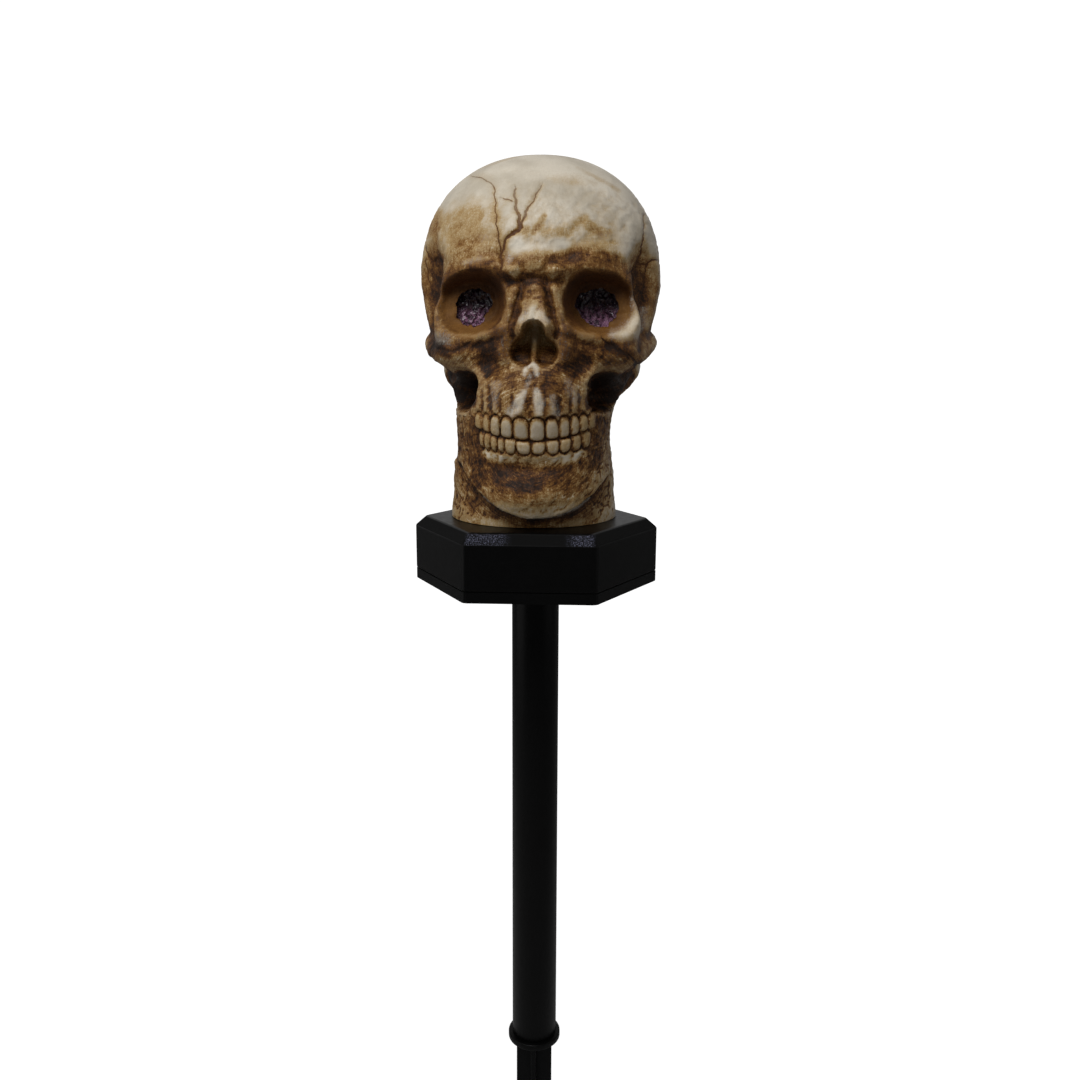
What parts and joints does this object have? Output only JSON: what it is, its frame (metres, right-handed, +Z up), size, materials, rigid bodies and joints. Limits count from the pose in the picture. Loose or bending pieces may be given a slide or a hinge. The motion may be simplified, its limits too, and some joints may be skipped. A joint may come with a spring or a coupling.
{
  "type": "solar skull stake light",
  "caption": "Hollow skull with glowing eyes on a six-sided electronics base, a round pole and a cross-finned ground spike; solar charged.",
  "frame": {"origin": "on the pole's axis at ground level, on the underside of the spike's flange", "axes": "+Z up along the pole, the face looks towards -Y, +X is to the right as seen by a viewer in front of the face"},
  "size_m": [0.1266, 0.1475, 0.6714],
  "materials": {
    "black_plastic": "satin",
    "bone_resin": "antique brown wash over cream, matt",
    "screw_steel": "satin",
    "contact_brass": "satin",
    "spring_steel": "satin",
    "board_green": "satin",
    "chip_black": "matt",
    "coil_brown": "satin",
    "white_plastic": "gloss",
    "switch_case": "satin",
    "cell_wrap": "gloss",
    "lens_purple": "crackled, translucent",
    "lamp_clear": "clear",
    "panel_cells": "gloss under clear resin",
    "gasket_rubber": "matt",
    "cable_red": "satin",
    "cable_black": "satin"
  },
  "bodies": {
    "spike": {"ground_spike": "black_plastic"},
    "pole": {"pole_tube": "black_plastic"},
    "head": {"base_housing": "black_plastic", "base_cover": "black_plastic", "skull_shell": "bone_resin", "cover_screw_1": "screw_steel", "cover_screw_2": "screw_steel", "cover_screw_3": "screw_steel", "skull_screw_1": "screw_steel", "skull_screw_2": "screw_steel", "skull_screw_3": "screw_steel", "circuit_board": "board_green", "board_screw_1": "screw_steel", "board_screw_2": "screw_steel", "control_chip": "chip_black", "charging_coil": "coil_brown", "cable_connector": "white_plastic", "switch_body": "switch_case", "battery": "cell_wrap", "battery_spring": "spring_steel", "battery_contact": "contact_brass", "eye_lens_left": "lens_purple", "eye_lens_right": "lens_purple", "lamp_holder_left": "black_plastic", "lamp_holder_right": "black_plastic", "eye_lamp_left": "lamp_clear", "eye_lamp_right": "lamp_clear", "panel_gasket": "gasket_rubber", "panel_frame": "black_plastic", "solar_panel": "panel_cells", "lamp_cable_left": "cable_red", "lamp_cable_right": "cable_red", "panel_cable": "cable_black"},
    "switch": {"switch_slider": "white_plastic"},
    "battery_door": {"battery_door": "black_plastic", "door_screw": "screw_steel"}
  },
  "joints": [
    {"name": "pole_lift", "type": "slide", "parent": "spike", "child": "pole", "axis": [0, 0, 1], "range_m": [0, 0.03]},
    {"name": "head_swivel", "type": "hinge", "parent": "pole", "child": "head", "pos_m": [0, 0, 0.272], "axis": [0, 0, 1], "continuous": true},
    {"name": "switch_slide", "type": "slide", "parent": "head", "child": "switch", "axis": [1, 0, 0], "range_m": [0, 0.004]},
    {"name": "battery_door_drop", "type": "slide", "parent": "head", "child": "battery_door", "axis": [0, 0, -1], "range_m": [0, 0.02]}
  ]
}
